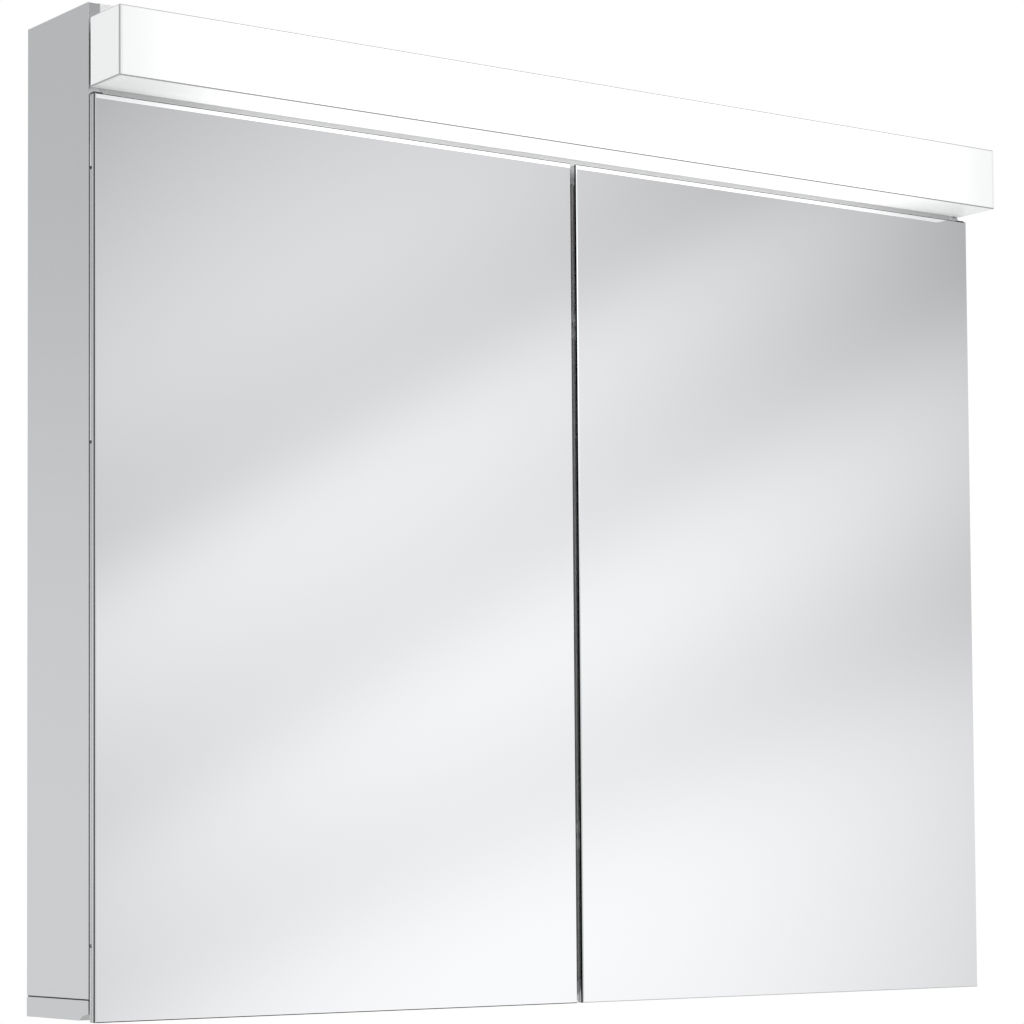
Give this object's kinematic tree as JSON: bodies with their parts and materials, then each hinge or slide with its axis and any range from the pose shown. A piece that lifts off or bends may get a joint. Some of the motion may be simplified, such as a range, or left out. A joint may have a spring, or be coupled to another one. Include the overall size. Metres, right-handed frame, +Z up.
{
  "type": "mirror cabinet with light",
  "caption": "Wall-hung bathroom mirror cabinet with hinged double-sided mirror doors, glass shelves and a light box across its top front.",
  "frame": {"origin": "centre of the rear face that lies on the wall, midway across the width and the height of the body", "axes": "+X to the right seen from the front, +Y into the wall, +Z up"},
  "size_m": [0.9, 0.1485, 0.771],
  "materials": {
    "anodised_aluminium": "satin silver anodised",
    "grey_plastic": "fine matt moulded, silver grey",
    "white_board": "white melamine-faced board",
    "painted_fascia": "powder coated light grey sheet",
    "shelf_glass": "clear float glass, ground edges",
    "zinc_plated_steel": "bright zinc plated",
    "white_plastic": "fine matt moulded",
    "opal_acrylic": "opal, satin, lit from inside",
    "circuit_board": "white solder mask",
    "led_phosphor": "yellow phosphor in white cases",
    "lead_jacket": "white soft vinyl",
    "black_rubber": "matt moulded rubber",
    "mirror_glass": "silvered float glass, polished edges",
    "core_board": "rigid foam board",
    "clear_silicone": "clear soft buffer",
    "dark_plastic": "matt moulded, dark grey"
  },
  "bodies": {
    "cabinet": {"side_panel_left": "anodised_aluminium", "side_panel_right": "anodised_aluminium", "bottom_end_cap_left": "grey_plastic", "bottom_end_cap_right": "grey_plastic", "bottom_profile": "anodised_aluminium", "top_panel": "white_board", "fascia": "painted_fascia", "service_floor": "white_board", "back_panel": "white_board", "centre_partition": "white_board", "shelf_left_1": "shelf_glass", "shelf_left_2": "shelf_glass", "shelf_left_3": "shelf_glass", "shelf_right_1": "shelf_glass", "shelf_right_2": "shelf_glass", "shelf_right_3": "shelf_glass", "shelf_supports_left": "zinc_plated_steel", "shelf_supports_right": "zinc_plated_steel", "hanger_plates": "zinc_plated_steel", "corner_brackets": "zinc_plated_steel", "hinge_leaves_left": "zinc_plated_steel", "hinge_leaves_right": "zinc_plated_steel", "cabinet_screws": "zinc_plated_steel", "magnet_catches": "white_plastic", "light_base_profile": "anodised_aluminium", "light_front_plate": "opal_acrylic", "light_bottom_plate": "opal_acrylic", "light_top_plate": "opal_acrylic", "light_end_plate_left": "opal_acrylic", "light_end_plate_right": "opal_acrylic", "led_board": "circuit_board", "led_chips": "led_phosphor", "led_driver": "white_plastic", "terminal_block": "white_plastic", "driver_lead": "lead_jacket", "led_lead": "lead_jacket", "switch_lead": "lead_jacket", "cable_grommet": "black_rubber", "switch_housing": "white_plastic"},
    "door_left": {"mirror_left": "mirror_glass", "hinge_stile_left": "anodised_aluminium", "closing_stile_left": "anodised_aluminium", "door_rails_left": "anodised_aluminium", "door_core_left": "core_board", "inner_mirror_left": "mirror_glass", "hinge_pins_left": "zinc_plated_steel", "door_bumpers_left": "clear_silicone", "strike_plates_left": "zinc_plated_steel", "stile_caps_left": "dark_plastic"},
    "door_right": {"mirror_right": "mirror_glass", "hinge_stile_right": "anodised_aluminium", "closing_stile_right": "anodised_aluminium", "door_rails_right": "anodised_aluminium", "door_core_right": "core_board", "inner_mirror_right": "mirror_glass", "hinge_pins_right": "zinc_plated_steel", "door_bumpers_right": "clear_silicone", "strike_plates_right": "zinc_plated_steel", "stile_caps_right": "dark_plastic"},
    "switch_button": {"switch_button": "white_plastic"}
  },
  "joints": [
    {"name": "door_left_swing", "type": "hinge", "parent": "cabinet", "child": "door_left", "pos_m": [-0.4474, -0.1055, 0], "axis": [0, 0, -1], "range_deg": [0, 105]},
    {"name": "door_right_swing", "type": "hinge", "parent": "cabinet", "child": "door_right", "pos_m": [0.4474, -0.1055, 0], "axis": [0, 0, 1], "range_deg": [0, 105]},
    {"name": "switch_press", "type": "slide", "parent": "cabinet", "child": "switch_button", "axis": [0, 0, 1], "range_m": [0, 0.0025], "stiffness_N_per_m": 400}
  ]
}
